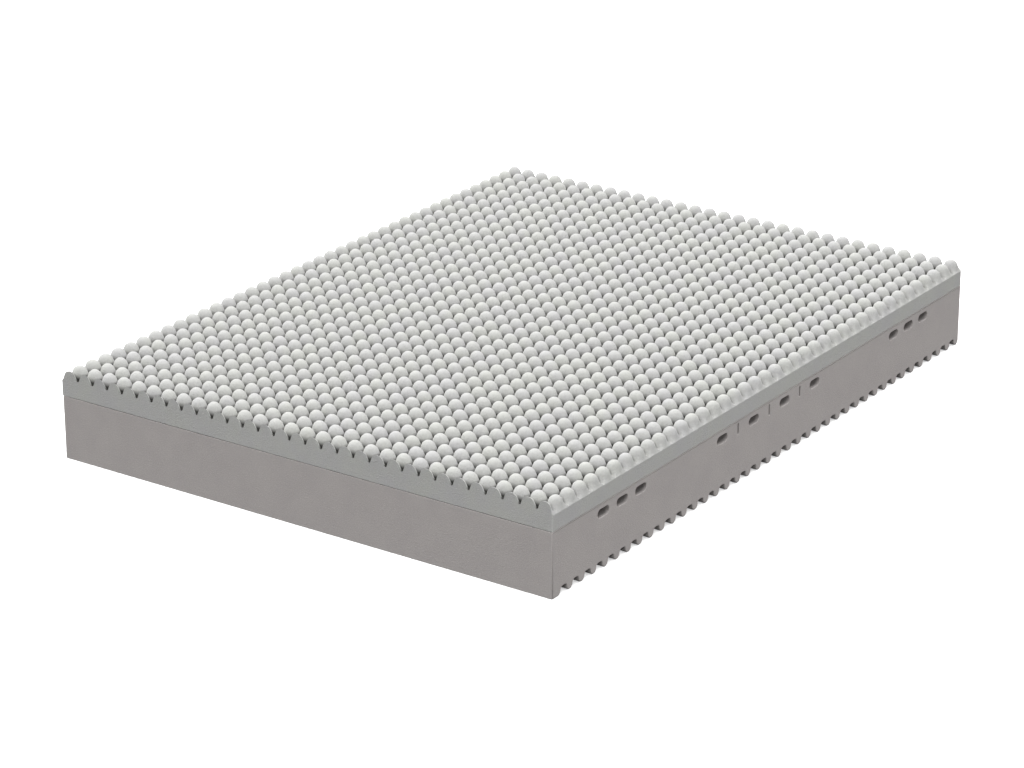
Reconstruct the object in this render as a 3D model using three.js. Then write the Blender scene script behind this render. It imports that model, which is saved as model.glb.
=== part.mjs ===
// Core of a pressure relief mattress: a convoluted comfort layer glued to a support block that has
// air channels and relief slits through its width and round ribs across its underside.
//
// Millimetres, +Z up. X runs along the mattress and Y across it. The origin is at the middle of the
// underside, on the plane of the rib crests that the mattress rests on.

import * as THREE from 'three';

const LENGTH = 2000;
const WIDTH = 1500;
const END_X = LENGTH / 2;
const SIDE_Y = WIDTH / 2;

// Heights above the rib crests
const GLUE_LINE_Z = 171;
const DOME_FOOT_Z = 214;
const DOME_TOP_Z = 246.5;

// Glue film, and the clearance that it keeps to the foam above and below it
const FILM_THICKNESS = 0.4;
const FILM_CLEARANCE = 0.3;
const FILM_SETBACK = 2;

// Domes of the comfort layer. The cut at the -X end falls just past the tops of the first row.
const DOMES_ACROSS = 31;
const DOMES_ALONG = 41;
const DOME_PITCH_X = 49.75;
const DOME_PITCH_Y = WIDTH / DOMES_ACROSS;
const FIRST_DOME_X = -END_X - 8;

// Ribs under the support block. The first one is left square at the -X end.
const RIB_COUNT = 40;
const RIB_DEPTH = 20;
const RIB_WIDTH = 25;
const RIB_FLAT = 5;
const RIB_ROOT_RADIUS = 7.5;
const FIRST_RIB_X = -END_X + 23;
const LAST_RIB_X = END_X - RIB_WIDTH / 2;
const RIB_PITCH = (LAST_RIB_X - FIRST_RIB_X) / (RIB_COUNT - 1);

// Air channels: three near each end, and four in the middle zone with a slit between each two
const CHANNEL_WIDTH = 49.5;
const CHANNEL_HEIGHT = 23;
const CHANNEL_Z = 145.5;
const END_ZONE_CHANNELS = 3;
const END_ZONE_INSET = 215;
const END_ZONE_PITCH = 81.5;
const MIDDLE_ZONE_CHANNELS = 4;
const MIDDLE_ZONE_X = -23;
const MIDDLE_ZONE_PITCH = 151;

const SLIT_WIDTH = 7;
const SLIT_HEIGHT = 31;
const SLIT_Z = 147.5;

// Half the number of straight steps in each quarter turn
const ARC_SEGMENTS = 2;

const COMFORT_FOAM = new THREE.MeshStandardMaterial({ color: 0xe4e5e2, roughness: 0.92, metalness: 0 });
const SUPPORT_FOAM = new THREE.MeshStandardMaterial({ color: 0xd3cbc8, roughness: 0.95, metalness: 0 });
const GLUE = new THREE.MeshStandardMaterial({ color: 0xb9b3b4, roughness: 0.6, metalness: 0 });

function mesh(name, geometry, material) {
  const piece = new THREE.Mesh(geometry, material);
  piece.name = name;
  return piece;
}

// A run of equally spaced positions centred on a middle
function centredRun(middle, pitch, count) {
  return Array.from({ length: count }, (_, i) => middle + pitch * (i - (count - 1) / 2));
}

// An upright or level slot with round ends, as a hole in the block's side profile
function slot(x, z, width, height) {
  const hole = new THREE.Path();
  const radius = Math.min(width, height) / 2;
  const reachX = width / 2 - radius;
  const reachZ = height / 2 - radius;
  const corners = [[1, 1], [-1, 1], [-1, -1], [1, -1]];
  corners.forEach(([sideX, sideZ], i) => {
    const start = i * Math.PI / 2;
    hole.absarc(x + sideX * reachX, z + sideZ * reachZ, radius, start, start + Math.PI / 2, false);
  });
  hole.closePath();
  return hole;
}

function channelCentres() {
  const endZoneMiddle = END_X - END_ZONE_INSET - END_ZONE_PITCH * (END_ZONE_CHANNELS - 1) / 2;
  return [
    ...centredRun(-endZoneMiddle, END_ZONE_PITCH, END_ZONE_CHANNELS),
    ...centredRun(MIDDLE_ZONE_X, MIDDLE_ZONE_PITCH, MIDDLE_ZONE_CHANNELS),
    ...centredRun(endZoneMiddle, END_ZONE_PITCH, END_ZONE_CHANNELS),
  ];
}

// Down the left flank of a rib: round root, then round crest
function ribLeftFlank(outline, centreX) {
  const flankX = centreX - RIB_WIDTH / 2;
  const crestRadius = (RIB_WIDTH - RIB_FLAT) / 2;
  const rootX = flankX - RIB_ROOT_RADIUS;
  const rootZ = RIB_DEPTH - RIB_ROOT_RADIUS;
  outline.absarc(rootX, rootZ, RIB_ROOT_RADIUS, Math.PI / 2, 0, true);
  outline.absarc(flankX + crestRadius, crestRadius, crestRadius, Math.PI, 1.5 * Math.PI, false);
}

// Up the right flank of a rib: round crest
function ribRightCrest(outline, centreX) {
  const crestRadius = (RIB_WIDTH - RIB_FLAT) / 2;
  const flankX = centreX + RIB_WIDTH / 2;
  outline.absarc(flankX - crestRadius, crestRadius, crestRadius, -Math.PI / 2, 0, false);
}

// Up into the groove that follows a rib: round root
function ribRightRoot(outline, centreX) {
  const rootX = centreX + RIB_WIDTH / 2 + RIB_ROOT_RADIUS;
  const rootZ = RIB_DEPTH - RIB_ROOT_RADIUS;
  outline.absarc(rootX, rootZ, RIB_ROOT_RADIUS, Math.PI, Math.PI / 2, true);
}

// The block's side profile, run out across the full width
function supportBlock() {
  const topZ = GLUE_LINE_Z - FILM_THICKNESS / 2 - FILM_CLEARANCE;
  const outline = new THREE.Shape();
  outline.moveTo(-END_X, topZ);
  outline.lineTo(-END_X, 0);
  for (let i = 0; i < RIB_COUNT; i += 1) {
    const centreX = FIRST_RIB_X + RIB_PITCH * i;
    if (i > 0) {
      ribLeftFlank(outline, centreX);
    }
    ribRightCrest(outline, centreX);
    if (i < RIB_COUNT - 1) {
      ribRightRoot(outline, centreX);
    }
  }
  outline.lineTo(END_X, topZ);
  outline.closePath();

  const channels = channelCentres().map((x) => slot(x, CHANNEL_Z, CHANNEL_WIDTH, CHANNEL_HEIGHT));
  const slits = centredRun(MIDDLE_ZONE_X, MIDDLE_ZONE_PITCH, MIDDLE_ZONE_CHANNELS - 1)
    .map((x) => slot(x, SLIT_Z, SLIT_WIDTH, SLIT_HEIGHT));
  outline.holes.push(...channels, ...slits);

  const geometry = new THREE.ExtrudeGeometry(outline, {
    depth: WIDTH,
    bevelEnabled: false,
    curveSegments: ARC_SEGMENTS,
  });
  geometry.translate(0, 0, -SIDE_Y);
  geometry.rotateX(Math.PI / 2);
  return mesh('support_block', geometry, SUPPORT_FOAM);
}

function glueFilm() {
  const geometry = new THREE.BoxGeometry(
    LENGTH - 2 * FILM_SETBACK,
    WIDTH - 2 * FILM_SETBACK,
    FILM_THICKNESS,
  );
  geometry.translate(0, 0, GLUE_LINE_Z);
  return mesh('glue_film', geometry, GLUE);
}

// Collects the triangles of the comfort layer, corner by corner
class Facets {
  constructor() {
    this.positions = [];
  }

  triangle(a, b, c) {
    this.positions.push(...a, ...b, ...c);
  }

  // Facets from an apex to each stretch of an open outline
  fan(apex, outline) {
    for (let i = 0; i + 1 < outline.length; i += 1) {
      this.triangle(apex, outline[i], outline[i + 1]);
    }
  }

  geometry() {
    const geometry = new THREE.BufferGeometry();
    geometry.setAttribute('position', new THREE.Float32BufferAttribute(this.positions, 3));
    geometry.computeVertexNormals();
    return geometry;
  }
}

// The valleys between rows of domes, from one end of the layer to the other
function rowEdges() {
  const edges = [-END_X];
  for (let i = 0; i < DOMES_ALONG - 1; i += 1) {
    edges.push(FIRST_DOME_X + DOME_PITCH_X * (i + 0.5));
  }
  edges.push(END_X);
  return edges;
}

// A slab with one four-sided point for each dome. The valleys lie level at the domes' feet, and the
// -X end cuts the first row through its tops.
function comfortLayer() {
  const bottomZ = GLUE_LINE_Z + FILM_THICKNESS / 2 + FILM_CLEARANCE;
  const facets = new Facets();
  const edgesX = rowEdges();
  const edgesY = Array.from({ length: DOMES_ACROSS + 1 }, (_, j) => -SIDE_Y + DOME_PITCH_Y * j);

  for (let i = 0; i < DOMES_ALONG; i += 1) {
    const [x0, x1] = [edgesX[i], edgesX[i + 1]];
    const peakX = i === 0 ? -END_X : FIRST_DOME_X + DOME_PITCH_X * i;
    for (let j = 0; j < DOMES_ACROSS; j += 1) {
      const [y0, y1] = [edgesY[j], edgesY[j + 1]];
      const peak = [peakX, (y0 + y1) / 2, DOME_TOP_Z];
      const corners = [
        [x0, y0, DOME_FOOT_Z],
        [x1, y0, DOME_FOOT_Z],
        [x1, y1, DOME_FOOT_Z],
        [x0, y1, DOME_FOOT_Z],
      ];
      facets.fan(peak, i === 0 ? corners : [...corners, corners[0]]);
    }
  }

  const rim = [];
  edgesX.slice(0, -1).forEach((x) => rim.push([x, -SIDE_Y, DOME_FOOT_Z]));
  edgesY.slice(0, -1).forEach((y) => rim.push([END_X, y, DOME_FOOT_Z]));
  edgesX.slice(1).reverse().forEach((x) => rim.push([x, SIDE_Y, DOME_FOOT_Z]));
  for (let j = DOMES_ACROSS; j > 0; j -= 1) {
    rim.push([-END_X, edgesY[j], DOME_FOOT_Z]);
    rim.push([-END_X, (edgesY[j] + edgesY[j - 1]) / 2, DOME_TOP_Z]);
  }

  const underside = [0, 0, bottomZ];
  rim.forEach((top, i) => {
    const nextTop = rim[(i + 1) % rim.length];
    const foot = [top[0], top[1], bottomZ];
    const nextFoot = [nextTop[0], nextTop[1], bottomZ];
    facets.triangle(foot, nextFoot, nextTop);
    facets.triangle(foot, nextTop, top);
    facets.triangle(underside, nextFoot, foot);
  });
  return mesh('comfort_layer', facets.geometry(), COMFORT_FOAM);
}

const mattress = new THREE.Group();
mattress.add(supportBlock(), glueFilm(), comfortLayer());

export default mattress;
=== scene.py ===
"""Core of a pressure relief mattress: a domed comfort layer glued to a ribbed, channelled support block.

Metres, in the CAD's frame: X along the mattress, Y across it, Z up from the rib crests that it lies on.
"""

import math

import bmesh
import bpy
import numpy as np
from mathutils import Matrix, Vector


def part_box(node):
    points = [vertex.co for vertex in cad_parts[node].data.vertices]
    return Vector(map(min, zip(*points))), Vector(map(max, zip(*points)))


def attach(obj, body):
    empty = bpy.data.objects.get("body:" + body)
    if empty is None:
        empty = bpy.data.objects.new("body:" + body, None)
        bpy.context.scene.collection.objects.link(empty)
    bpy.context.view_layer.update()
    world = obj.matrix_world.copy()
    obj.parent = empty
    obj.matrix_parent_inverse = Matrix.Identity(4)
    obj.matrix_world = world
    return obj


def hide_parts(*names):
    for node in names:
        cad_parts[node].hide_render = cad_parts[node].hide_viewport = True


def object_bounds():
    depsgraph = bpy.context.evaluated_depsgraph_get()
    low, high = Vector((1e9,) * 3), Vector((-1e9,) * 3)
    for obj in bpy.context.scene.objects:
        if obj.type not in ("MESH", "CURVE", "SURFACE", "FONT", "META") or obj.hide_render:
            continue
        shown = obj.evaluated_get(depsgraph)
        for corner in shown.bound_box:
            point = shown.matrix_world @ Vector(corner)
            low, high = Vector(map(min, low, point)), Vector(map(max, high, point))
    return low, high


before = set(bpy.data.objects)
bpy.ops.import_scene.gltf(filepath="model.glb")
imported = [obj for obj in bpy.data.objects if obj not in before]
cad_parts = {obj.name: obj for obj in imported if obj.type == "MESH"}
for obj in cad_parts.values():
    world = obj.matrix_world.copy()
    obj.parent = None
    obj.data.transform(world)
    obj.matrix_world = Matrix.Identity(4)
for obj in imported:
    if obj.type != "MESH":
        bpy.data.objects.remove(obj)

CAD_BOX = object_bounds()

# ---- Driving dimensions, metres ----

LOW, HIGH = (Vector(corner) for corner in CAD_BOX)
COMFORT_LOW, COMFORT_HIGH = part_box("comfort_layer")
_, SUPPORT_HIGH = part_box("support_block")

# The end at -X cuts the first row of domes just past their tops
DOMES_ACROSS = 31
DOMES_ALONG = 41
DOME_PITCH_X = 0.04975
DOME_PITCH_Y = (HIGH.y - LOW.y) / DOMES_ACROSS
FIRST_DOME_X = LOW.x - 0.008

# Each dome is narrower along the mattress than across it, apart from those in the first row
DOME_RADIUS = 0.0203
DOME_SQUEEZE_X = 0.84

# The domed sheet was glued on a little out of place and out of square, then trimmed flush
SHEET_SHIFT_Y = -0.0018
SHEET_TURN = math.radians(0.16)

# How far the foam falls from a dome's top to each part of its cell's outline
ROW_SADDLE_DROP = 0.0245
VALLEY_DROP = 0.037
PIT_DROP = 0.040
LEDGE_DROP = 0.0325
PIT_SHARPNESS = 1.8

SEAM_RADIUS = 0.0011
CORNER_RADIUS = 0.0025
CHANNEL_EDGE_RADIUS = 0.0008

RIB_COUNT = 40
RIB_DEPTH = 0.020
RIB_WIDTH = 0.025
RIB_ROOT_RADIUS = 0.0075
FIRST_RIB_X = LOW.x + 0.023
LAST_RIB_X = HIGH.x - RIB_WIDTH / 2

CHANNEL_SIZE = (0.0495, 0.023)
CHANNEL_Z = 0.1455
SLIT_SIZE = (0.007, 0.031)
SLIT_Z = 0.1475
END_ZONE_CHANNELS = 3
END_ZONE_INSET = 0.215
END_ZONE_PITCH = 0.0815
MIDDLE_ZONE_CHANNELS = 4
MIDDLE_ZONE_X = -0.023
MIDDLE_ZONE_PITCH = 0.151

# Painted shade: the foam's colour is darkened where shade falls, in the valleys between domes, and in the
# grooves, channels and slits.
# The valleys' painted shade fades out towards each long side, and is gone within an edge strip of it.
VALLEY_SHADE_TOP = 0.016
VALLEY_SHADE_DEPTH = 0.010
EDGE_STRIP = 0.012
GROOVE_SHADE_DEPTH = 0.012
GROOVE_SHADE_FROM_CREST = 0.3 * RIB_DEPTH
GROOVE_SHADE_RISE = 0.6 * RIB_DEPTH
CHANNEL_SHADE = 0.5

# ---- Mesh resolution and tolerances ----

# Angles are in degrees. The flank rings are fractions of the way from a cap's foot to the outline.
DOME_SIDES = 16
CAP_RINGS = (28, 54, 80)
FLANK_RINGS = (0.3, 1.0)
EDGE_TURNS = (0, 30, 60, 90)
COMFORT_SMOOTH_ANGLE = 40
SUPPORT_SMOOTH_ANGLE = 50
SAME_POINT = 1e-6
ON_WALL = 1e-5

# ---- Look of the foams and the glue ----

# Linear red, green and blue: the two ends of the slow drift, then the painted shade colour deep in the
# recesses
COMFORT_COLOURS = ((0.645, 0.65, 0.620), (0.630, 0.628, 0.625), (0.06, 0.06, 0.055))
SUPPORT_COLOURS = ((0.60, 0.565, 0.55), (0.575, 0.54, 0.53), (0.05, 0.045, 0.045))
GLUE_LIGHT = (0.44, 0.42, 0.43)
GLUE_DARK = (0.30, 0.285, 0.29)
BLACK = (0, 0, 0)

# Texture scales, in features per metre
COMFORT_CELL_SCALE = 620
SUPPORT_CELL_SCALE = 480
DRIFT_SCALE = 14
GRAIN_SCALE = 240
SAW_MARK_SCALE = (3, 3, 260)
GLUE_CLOUD_SCALE = 30
GLUE_RIPPLE_SCALE = 400

# Bump depths, in metres
COMFORT_GRAIN_DEPTH = 0.002
SUPPORT_GRAIN_DEPTH = 0.0004
SAW_MARK_DEPTH = 0.00015
CELL_DEPTH = 0.0005
GLUE_RIPPLE_DEPTH = 0.0003

# How much the foam darkens between grains, and at the middle of each cell
GRAIN_SHADE = 0.10
CELL_SHADE = 0.08
FOAM_SPECULAR = 0.15

# ---- Floor, light and camera settings ----

FLOOR_REACH = 12
FLOOR_GLOW = 0.5
HORIZON_HEIGHT = 0.02
HORIZON_BRIGHTNESS = 0.40
SKY_STRENGTH = 1.75
KEY_STRENGTH = 1.5
KEY_SPREAD = math.radians(40)
KEY_DIRECTION = Vector((-0.25, -0.95, -0.8))
CAMERA_PLACE = Vector((LOW.x - 6.0417, LOW.y - 4.0879, LOW.z + 3.4645))
CAMERA_AZIMUTH = math.radians(34.806)
CAMERA_ELEVATION = math.radians(21.836)
CAMERA_ROLL = math.radians(-0.197)
CAMERA_LENS = 121.81
CAMERA_SENSOR = 36
CAMERA_REACH = 100


# ---- Mesh helpers ----

def new_object(name, vertices, faces):
    mesh = bpy.data.meshes.new(name)
    mesh.from_pydata(vertices, [], faces)
    mesh.validate()
    mesh.update()
    piece = bpy.data.objects.new(name, mesh)
    bpy.context.scene.collection.objects.link(piece)
    return piece


def flat_walls(mesh):
    """Which faces belong to the object's plain upright sides or its underside."""
    normals = np.empty(3 * len(mesh.polygons), np.float32)
    mesh.polygons.foreach_get("normal", normals)
    nx, ny, nz = normals.reshape(-1, 3).T
    centres = np.empty(3 * len(mesh.polygons), np.float32)
    mesh.polygons.foreach_get("center", centres)
    at_end = np.abs(centres[0::3]) > HIGH.x - ON_WALL
    return (at_end & (np.abs(nx) > 0.999)) | (np.abs(ny) > 0.999) | (nz < -0.9999)


def finish_shading(mesh, smooth_angle):
    """Smooth over bends gentler than an angle in degrees, with the flat walls kept flat."""
    mesh.set_sharp_from_angle(angle=math.radians(smooth_angle))
    mesh.polygons.foreach_set("use_smooth", ~flat_walls(mesh))
    mesh.update()


def mark_painted_shade(mesh, painted_shade):
    """Store the painted shade for each face corner, from 0 to 1, by how deep in the foam's recesses it
    lies, with plain walls left at 0.
    """
    p = np.empty(3 * len(mesh.vertices), np.float32)
    mesh.vertices.foreach_get("co", p)
    at_vertex = np.clip(painted_shade(*p.reshape(-1, 3).T), 0, 1)
    corners = np.empty(len(mesh.loops), np.int32)
    mesh.loops.foreach_get("vertex_index", corners)
    counts = np.empty(len(mesh.polygons), np.int32)
    mesh.polygons.foreach_get("loop_total", counts)
    value = at_vertex[corners] * ~np.repeat(flat_walls(mesh), counts)
    layer = mesh.attributes.new("painted_shade", "FLOAT", "CORNER")
    layer.data.foreach_set("value", value.astype(np.float32))


# ---- Comfort layer ----

def outline_drop(square_x, square_y, at_edge):
    """How far the foam has fallen on the outline of a dome's cell, at a point of the unit square."""
    outside = at_edge and square_y * at_edge > 0
    pit = LEDGE_DROP if outside else PIT_DROP
    if abs(square_x) > abs(square_y) - 1e-9:
        return VALLEY_DROP + (pit - VALLEY_DROP) * abs(square_y) ** PIT_SHARPNESS
    saddle = LEDGE_DROP if outside else ROW_SADDLE_DROP
    return saddle + (pit - saddle) * abs(square_x) ** PIT_SHARPNESS


def dome_vertices(centre_x, centre_y, squeeze, at_edge):
    """Apex, rings down an oval cap, then rings out to the outline of the dome's own cell."""
    points = [(0.0, 0.0, 0.0)]
    angles = [2 * math.pi * k / DOME_SIDES for k in range(DOME_SIDES)]
    for ring in CAP_RINGS:
        out = DOME_RADIUS * math.sin(math.radians(ring))
        drop = DOME_RADIUS * (1 - math.cos(math.radians(ring)))
        points += [(squeeze * out * math.cos(a), out * math.sin(a), drop) for a in angles]
    for step in FLANK_RINGS:
        for angle in angles:
            c, s = math.cos(angle), math.sin(angle)
            reach = max(abs(c), abs(s))
            square_x, square_y = c / reach, s / reach
            edge_x, edge_y = square_x * DOME_PITCH_X / 2, square_y * DOME_PITCH_Y / 2
            foot_x, foot_y = squeeze * DOME_RADIUS * c, DOME_RADIUS * s
            fall = outline_drop(square_x, square_y, at_edge) - DOME_RADIUS
            drop = DOME_RADIUS + fall * (1 - (1 - step) ** 2)
            points.append((foot_x + (edge_x - foot_x) * step, foot_y + (edge_y - foot_y) * step, drop))
    return [(centre_x + x, centre_y + y, COMFORT_HIGH.z - drop) for x, y, drop in points]


def dome_faces(start):
    faces = []
    for k in range(DOME_SIDES):
        n = (k + 1) % DOME_SIDES
        faces.append((start, start + 1 + k, start + 1 + n))
        for ring in range(len(CAP_RINGS) + len(FLANK_RINGS) - 1):
            upper = start + 1 + ring * DOME_SIDES
            lower = upper + DOME_SIDES
            faces.append((upper + k, lower + k, lower + n, upper + n))
    return faces


def as_glued(x, y):
    """Where a point of the domed sheet lies, with the sheet's two long edges kept on the trimmed sides."""
    from_edge = min((HIGH.y - abs(y)) / (DOME_PITCH_Y / 2), 1.0)
    return x - SHEET_TURN * y, y + (SHEET_SHIFT_Y + SHEET_TURN * x) * from_edge


def domed_sheet():
    """Vertices and faces of every dome's cell, placed as glued but not yet trimmed or joined up."""
    vertices, faces = [], []
    for i in range(DOMES_ALONG):
        centre_x = FIRST_DOME_X + DOME_PITCH_X * i
        squeeze = 1.0 if i == 0 else DOME_SQUEEZE_X
        for j in range(DOMES_ACROSS):
            centre_y = LOW.y + DOME_PITCH_Y * (j + 0.5)
            at_edge = {0: -1, DOMES_ACROSS - 1: 1}.get(j, 0)
            faces += dome_faces(len(vertices))
            dome = dome_vertices(centre_x, centre_y, squeeze, at_edge)
            vertices += [(*as_glued(x, y), z) for x, y, z in dome]
    return vertices, faces


def trim_ends(form):
    for x, side in ((LOW.x, -1), (HIGH.x, 1)):
        bmesh.ops.bisect_plane(
            form,
            geom=form.verts[:] + form.edges[:] + form.faces[:],
            dist=SAME_POINT,
            plane_co=(x, 0, 0),
            plane_no=(side, 0, 0),
            clear_outer=True,
        )


def drop_walls(form):
    """Walls from the rim of the domed sheet down to a rounded seam edge, and a flat underside."""
    bend = 0.3 * SEAM_RADIUS
    for lift, inset in ((SEAM_RADIUS, 0.0), (bend, bend), (0.0, SEAM_RADIUS)):
        rim = [e for e in form.edges if e.is_boundary]
        made = bmesh.ops.extrude_edge_only(form, edges=rim)["geom"]
        for v in made:
            if isinstance(v, bmesh.types.BMVert):
                v.co.x = min(max(v.co.x, LOW.x + inset), HIGH.x - inset)
                v.co.y = min(max(v.co.y, LOW.y + inset), HIGH.y - inset)
                v.co.z = COMFORT_LOW.z + lift
    bmesh.ops.contextual_create(form, geom=[e for e in form.edges if e.is_boundary])


def round_upright_corners(form):
    corners = [
        e for e in form.edges
        if all(min(abs(v.co.x - LOW.x), abs(v.co.x - HIGH.x)) < ON_WALL for v in e.verts)
        and all(min(abs(v.co.y - LOW.y), abs(v.co.y - HIGH.y)) < ON_WALL for v in e.verts)
    ]
    bmesh.ops.bevel(form, geom=corners, offset=CORNER_RADIUS, segments=3, profile=0.5, affect="EDGES")


# Painted shade in the valleys between domes: darker the deeper below the tops, fading out near each long
# side.
def valley_painted_shade(x, y, z):
    deep = np.clip((COMFORT_HIGH.z - VALLEY_SHADE_TOP - z) / VALLEY_SHADE_DEPTH, 0, 1)
    inland = np.clip((HIGH.y - np.abs(y) - EDGE_STRIP) / EDGE_STRIP, 0, 1)
    return deep * deep * (3 - 2 * deep) * inland


def comfort_layer():
    piece = new_object("comfort_layer_foam", *domed_sheet())
    form = bmesh.new()
    form.from_mesh(piece.data)
    bmesh.ops.remove_doubles(form, verts=form.verts, dist=SAME_POINT)
    trim_ends(form)
    drop_walls(form)
    bmesh.ops.recalc_face_normals(form, faces=form.faces)
    round_upright_corners(form)
    form.to_mesh(piece.data)
    form.free()
    finish_shading(piece.data, COMFORT_SMOOTH_ANGLE)
    mark_painted_shade(piece.data, valley_painted_shade)
    return piece


# ---- Support block ----

def arc(centre, radius, start, end, steps=6):
    """Points round an arc, angles in degrees."""
    angles = [math.radians(start + (end - start) * i / steps) for i in range(steps + 1)]
    return [(centre[0] + radius * math.cos(a), centre[1] + radius * math.sin(a)) for a in angles]


def drop_repeats(points):
    return [p for i, p in enumerate(points) if math.dist(p, points[i - 1]) > SAME_POINT]


def block_outline():
    """The side profile, anticlockwise seen from -Y, starting at the top of the +X end."""
    top = SUPPORT_HIGH.z
    points = arc((HIGH.x - SEAM_RADIUS, top - SEAM_RADIUS), SEAM_RADIUS, 0, 90, 3)
    points += arc((LOW.x + SEAM_RADIUS, top - SEAM_RADIUS), SEAM_RADIUS, 90, 180, 3)
    points += arc((LOW.x + SEAM_RADIUS, SEAM_RADIUS), SEAM_RADIUS, 180, 270, 3)
    radius = RIB_WIDTH / 2
    root = radius + RIB_ROOT_RADIUS
    root_z = RIB_DEPTH - RIB_ROOT_RADIUS
    for i in range(RIB_COUNT):
        centre = FIRST_RIB_X + (LAST_RIB_X - FIRST_RIB_X) * i / (RIB_COUNT - 1)
        if i > 0:
            points += arc((centre - root, root_z), RIB_ROOT_RADIUS, 90, 0, 4)
            points += arc((centre, radius), radius, 180, 270)
        points += arc((centre, radius), radius, 270, 360)
        if i < RIB_COUNT - 1:
            points += arc((centre + root, root_z), RIB_ROOT_RADIUS, 180, 90, 4)
    return drop_repeats(points)


def slot_outline(x, z, size):
    radius = min(size) / 2
    reach_x = size[0] / 2 - radius
    reach_z = size[1] / 2 - radius
    points = []
    for i, (side_x, side_z) in enumerate(((1, 1), (-1, 1), (-1, -1), (1, -1))):
        points += arc((x + side_x * reach_x, z + side_z * reach_z), radius, 90 * i, 90 * i + 90)
    return drop_repeats(points)


def centred_run(centre, pitch, count):
    return [centre + pitch * (i - (count - 1) / 2) for i in range(count)]


def slots():
    """Outlines of the channels and of the slits between the middle ones."""
    end_zone = HIGH.x - END_ZONE_INSET - END_ZONE_PITCH * (END_ZONE_CHANNELS - 1) / 2
    channels = centred_run(-end_zone, END_ZONE_PITCH, END_ZONE_CHANNELS)
    channels += centred_run(MIDDLE_ZONE_X, MIDDLE_ZONE_PITCH, MIDDLE_ZONE_CHANNELS)
    channels += centred_run(end_zone, END_ZONE_PITCH, END_ZONE_CHANNELS)
    slits = centred_run(MIDDLE_ZONE_X, MIDDLE_ZONE_PITCH, MIDDLE_ZONE_CHANNELS - 1)
    outlines = [slot_outline(x, CHANNEL_Z, CHANNEL_SIZE) for x in channels]
    outlines += [slot_outline(x, SLIT_Z, SLIT_SIZE) for x in slits]
    return outlines


def inset_loop(loop, distance):
    """A closed loop moved to its left by a distance, which is into the foam."""
    p = np.array(loop)
    before = p - np.roll(p, 1, 0)
    after = np.roll(p, -1, 0) - p
    n1 = np.stack([-before[:, 1], before[:, 0]], 1) / np.linalg.norm(before, axis=1)[:, None]
    n2 = np.stack([-after[:, 1], after[:, 0]], 1) / np.linalg.norm(after, axis=1)[:, None]
    n = n1 + n2
    n /= (1 + np.sum(n1 * n2, 1))[:, None]
    return p + n * distance


def rounded_stations(radius):
    """Places across the width and the inset of the outline there, with both ends rounded."""
    turns = [math.radians(angle) for angle in EDGE_TURNS]
    end = [(HIGH.y - radius * (1 - math.sin(a)), radius * (1 - math.cos(a))) for a in turns]
    end.insert(0, (HIGH.y - GROOVE_SHADE_DEPTH, 0.0))
    return [(-y, inset) for y, inset in end[::-1]] + end


def swept_walls():
    """The block's outline and its slots, each run across the width with rounded edges."""
    loops = [(block_outline(), CORNER_RADIUS)]
    loops += [(loop[::-1], CHANNEL_EDGE_RADIUS) for loop in slots()]
    vertices, faces = [], []
    for loop, radius in loops:
        rings = []
        for y, inset in rounded_stations(radius):
            p = inset_loop(loop, inset)
            start = len(vertices)
            vertices += [(x, y, z) for x, z in p]
            rings.append(np.arange(start, start + len(p)))
        for a, b in zip(rings, rings[1:]):
            faces += np.stack([a, b, np.roll(b, -1), np.roll(a, -1)], -1).tolist()
    return vertices, faces


def close_sides(form):
    for y in (LOW.y, HIGH.y):
        rim = [e for e in form.edges if e.is_boundary and abs(e.verts[0].co.y - y) < SAME_POINT]
        bmesh.ops.triangle_fill(form, use_beauty=True, edges=rim)


def groove_painted_shade(x, y, z):
    """Painted shade, deep in the grooves between ribs, and inside the channels and slits."""
    inside = (HIGH.y - CORNER_RADIUS - np.abs(y)) / (GROOVE_SHADE_DEPTH - CORNER_RADIUS)
    from_crest = np.clip((z - GROOVE_SHADE_FROM_CREST) / GROOVE_SHADE_RISE, 0, 1)
    depth = np.where(z > 2 * RIB_DEPTH, CHANNEL_SHADE, from_crest)
    return np.clip(inside, 0, 1) * depth * (np.abs(x) < HIGH.x - CORNER_RADIUS)


def support_block():
    piece = new_object("support_block_foam", *swept_walls())
    form = bmesh.new()
    form.from_mesh(piece.data)
    close_sides(form)
    bmesh.ops.recalc_face_normals(form, faces=form.faces)
    form.to_mesh(piece.data)
    form.free()
    finish_shading(piece.data, SUPPORT_SMOOTH_ANGLE)
    mark_painted_shade(piece.data, groove_painted_shade)
    return piece


# ---- Materials ----

def new_material(name):
    material = bpy.data.materials.new(name)
    material.use_nodes = True
    tree = material.node_tree
    return material, tree, tree.nodes["Principled BSDF"]


def noise(tree, place, scale, detail=2.0, roughness=0.5):
    node = tree.nodes.new("ShaderNodeTexNoise")
    node.inputs["Scale"].default_value = scale
    node.inputs["Detail"].default_value = detail
    node.inputs["Roughness"].default_value = roughness
    tree.links.new(place, node.inputs["Vector"])
    return node.outputs["Fac"]


def cells(tree, place, scale):
    node = tree.nodes.new("ShaderNodeTexVoronoi")
    node.feature = "SMOOTH_F1"
    node.inputs["Scale"].default_value = scale
    node.inputs["Smoothness"].default_value = 0.4
    tree.links.new(place, node.inputs["Vector"])
    return node.outputs["Distance"]


def stretch(tree, place, scale):
    node = tree.nodes.new("ShaderNodeMapping")
    node.inputs["Scale"].default_value = scale
    tree.links.new(place, node.inputs["Vector"])
    return node.outputs["Vector"]


def remap(tree, value, low, high, start=0.0, end=1.0):
    node = tree.nodes.new("ShaderNodeMapRange")
    node.inputs["From Min"].default_value = start
    node.inputs["From Max"].default_value = end
    node.inputs["To Min"].default_value = low
    node.inputs["To Max"].default_value = high
    tree.links.new(value, node.inputs["Value"])
    return node.outputs["Result"]


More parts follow.
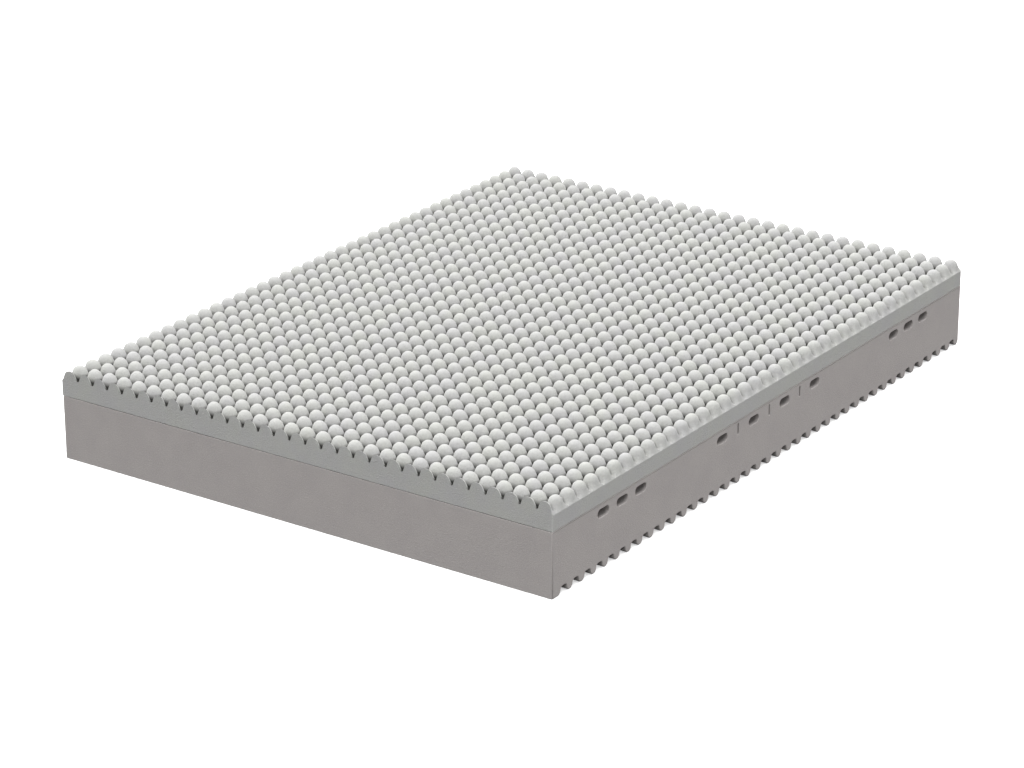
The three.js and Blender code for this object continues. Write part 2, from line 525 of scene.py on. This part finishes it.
def mix(tree, factor, first, second):
    """Blend two colours. Each argument is a socket or a constant."""
    node = tree.nodes.new("ShaderNodeMix")
    node.data_type = "RGBA"
    for socket, value in ((0, factor), (6, first), (7, second)):
        if isinstance(value, bpy.types.NodeSocket):
            tree.links.new(value, node.inputs[socket])
        else:
            node.inputs[socket].default_value = value if socket == 0 else (*value, 1)
    return node.outputs[2]


def bump(tree, height, distance, below=None):
    node = tree.nodes.new("ShaderNodeBump")
    node.inputs["Distance"].default_value = distance
    tree.links.new(height, node.inputs["Height"])
    if below is not None:
        tree.links.new(below, node.inputs["Normal"])
    return node.outputs["Normal"]


def foam(name, colours, cell_scale, grain_depth):
    """Open-cell foam: fine cells, a coarser grain, faint saw marks, slow drifts of colour, and painted
    shade in its recesses.
    """
    light, dark, painted_shade = colours
    material, tree, shader = new_material(name)
    place = tree.nodes.new("ShaderNodeTexCoord").outputs["Object"]
    drift = remap(tree, noise(tree, place, DRIFT_SCALE, 3), 0, 1, 0.35, 0.65)
    grain = noise(tree, place, GRAIN_SCALE, 4, 0.65)
    marks = noise(tree, stretch(tree, place, SAW_MARK_SCALE), 1, 3, 0.6)
    pores = cells(tree, place, cell_scale)
    color = mix(tree, drift, light, dark)
    color = mix(tree, remap(tree, grain, GRAIN_SHADE, 0.0, 0.35, 0.75), color, BLACK)
    color = mix(tree, remap(tree, pores, CELL_SHADE, 0.0, 0.0, 0.8), color, BLACK)
    # Painted shade: the colour is darkened towards the shade colour wherever the mesh's shade attribute
    # marks a recess.
    deep = tree.nodes.new("ShaderNodeAttribute")
    deep.attribute_name = "painted_shade"
    color = mix(tree, deep.outputs["Fac"], color, painted_shade)
    tree.links.new(color, shader.inputs["Base Color"])
    tree.links.new(remap(tree, grain, 0.86, 1.0), shader.inputs["Roughness"])
    normal = bump(tree, marks, SAW_MARK_DEPTH)
    normal = bump(tree, grain, grain_depth, normal)
    normal = bump(tree, pores, CELL_DEPTH, normal)
    tree.links.new(normal, shader.inputs["Normal"])
    shader.inputs["Specular IOR Level"].default_value = FOAM_SPECULAR
    return material


def glue():
    """Dried adhesive: a thin satin film with a rippled surface and cloudy colour."""
    material, tree, shader = new_material("glue")
    place = tree.nodes.new("ShaderNodeTexCoord").outputs["Object"]
    cloud = noise(tree, place, GLUE_CLOUD_SCALE, 3)
    ripple = noise(tree, place, GLUE_RIPPLE_SCALE, 2)
    tree.links.new(mix(tree, cloud, GLUE_LIGHT, GLUE_DARK), shader.inputs["Base Color"])
    tree.links.new(remap(tree, cloud, 0.4, 0.7), shader.inputs["Roughness"])
    tree.links.new(bump(tree, ripple, GLUE_RIPPLE_DEPTH), shader.inputs["Normal"])
    return material


# ---- Floor, light and camera ----

def floor():
    """A matt white floor that glows a little and throws no soft light back on the core."""
    sides = ((-1, -1), (1, -1), (1, 1), (-1, 1))
    corners = [(x * FLOOR_REACH, y * FLOOR_REACH, LOW.z) for x, y in sides]
    ground = new_object("floor", corners, [(0, 1, 2, 3)])
    material, _, shader = new_material("floor")
    shader.inputs["Base Color"].default_value = (1, 1, 1, 1)
    shader.inputs["Roughness"].default_value = 1.0
    shader.inputs["Specular IOR Level"].default_value = 0.0
    shader.inputs["Emission Color"].default_value = (1, 1, 1, 1)
    shader.inputs["Emission Strength"].default_value = FLOOR_GLOW
    ground.data.materials.append(material)
    ground.visible_diffuse = False


def sky():
    """Black below the horizon, then grey rising to white overhead."""
    world = bpy.data.worlds.new("studio")
    world.use_nodes = True
    nodes = world.node_tree.nodes
    links = world.node_tree.links
    background = nodes["Background"]
    coordinates = nodes.new("ShaderNodeTexCoord")
    split = nodes.new("ShaderNodeSeparateXYZ")
    ramp = nodes.new("ShaderNodeValToRGB")
    ramp.color_ramp.elements[0].position = 0.0
    ramp.color_ramp.elements[0].color = (0, 0, 0, 1)
    ramp.color_ramp.elements[1].position = 1.0
    ramp.color_ramp.elements[1].color = (1, 1, 1, 1)
    horizon = ramp.color_ramp.elements.new(HORIZON_HEIGHT)
    horizon.color = (HORIZON_BRIGHTNESS, HORIZON_BRIGHTNESS, HORIZON_BRIGHTNESS, 1)
    links.new(coordinates.outputs["Generated"], split.inputs[0])
    links.new(split.outputs["Z"], ramp.inputs[0])
    links.new(ramp.outputs["Color"], background.inputs["Color"])
    background.inputs["Strength"].default_value = SKY_STRENGTH
    bpy.context.scene.world = world


def key_light():
    """A broad soft light from behind the core and to the camera's left."""
    data = bpy.data.lights.new("key", "SUN")
    data.energy = KEY_STRENGTH
    data.angle = KEY_SPREAD
    lamp = bpy.data.objects.new("key", data)
    lamp.rotation_euler = KEY_DIRECTION.to_track_quat("-Z", "Y").to_euler()
    bpy.context.scene.collection.objects.link(lamp)


def camera():
    data = bpy.data.cameras.new("camera")
    data.sensor_width = CAMERA_SENSOR
    data.lens = CAMERA_LENS
    data.clip_end = CAMERA_REACH
    eye = bpy.data.objects.new("camera", data)
    aim = Vector((
        math.cos(CAMERA_AZIMUTH) * math.cos(CAMERA_ELEVATION),
        math.sin(CAMERA_AZIMUTH) * math.cos(CAMERA_ELEVATION),
        -math.sin(CAMERA_ELEVATION),
    ))
    turn = aim.to_track_quat("-Z", "Y").to_matrix() @ Matrix.Rotation(CAMERA_ROLL, 3, "Z")
    eye.matrix_world = Matrix.Translation(CAMERA_PLACE) @ turn.to_4x4()
    bpy.context.scene.collection.objects.link(eye)
    bpy.context.scene.camera = eye


# ---- Assembly ----

comfort = comfort_layer()
comfort_foam = foam("comfort_foam", COMFORT_COLOURS, COMFORT_CELL_SCALE, COMFORT_GRAIN_DEPTH)
comfort.data.materials.append(comfort_foam)
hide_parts("comfort_layer")
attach(comfort, "root")

support = support_block()
support_foam = foam("support_foam", SUPPORT_COLOURS, SUPPORT_CELL_SCALE, SUPPORT_GRAIN_DEPTH)
support.data.materials.append(support_foam)
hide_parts("support_block")
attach(support, "root")

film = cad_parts["glue_film"]
film.data.materials.clear()
film.data.materials.append(glue())

floor()
sky()
key_light()
camera()
bpy.context.scene.view_settings.view_transform = "Standard"
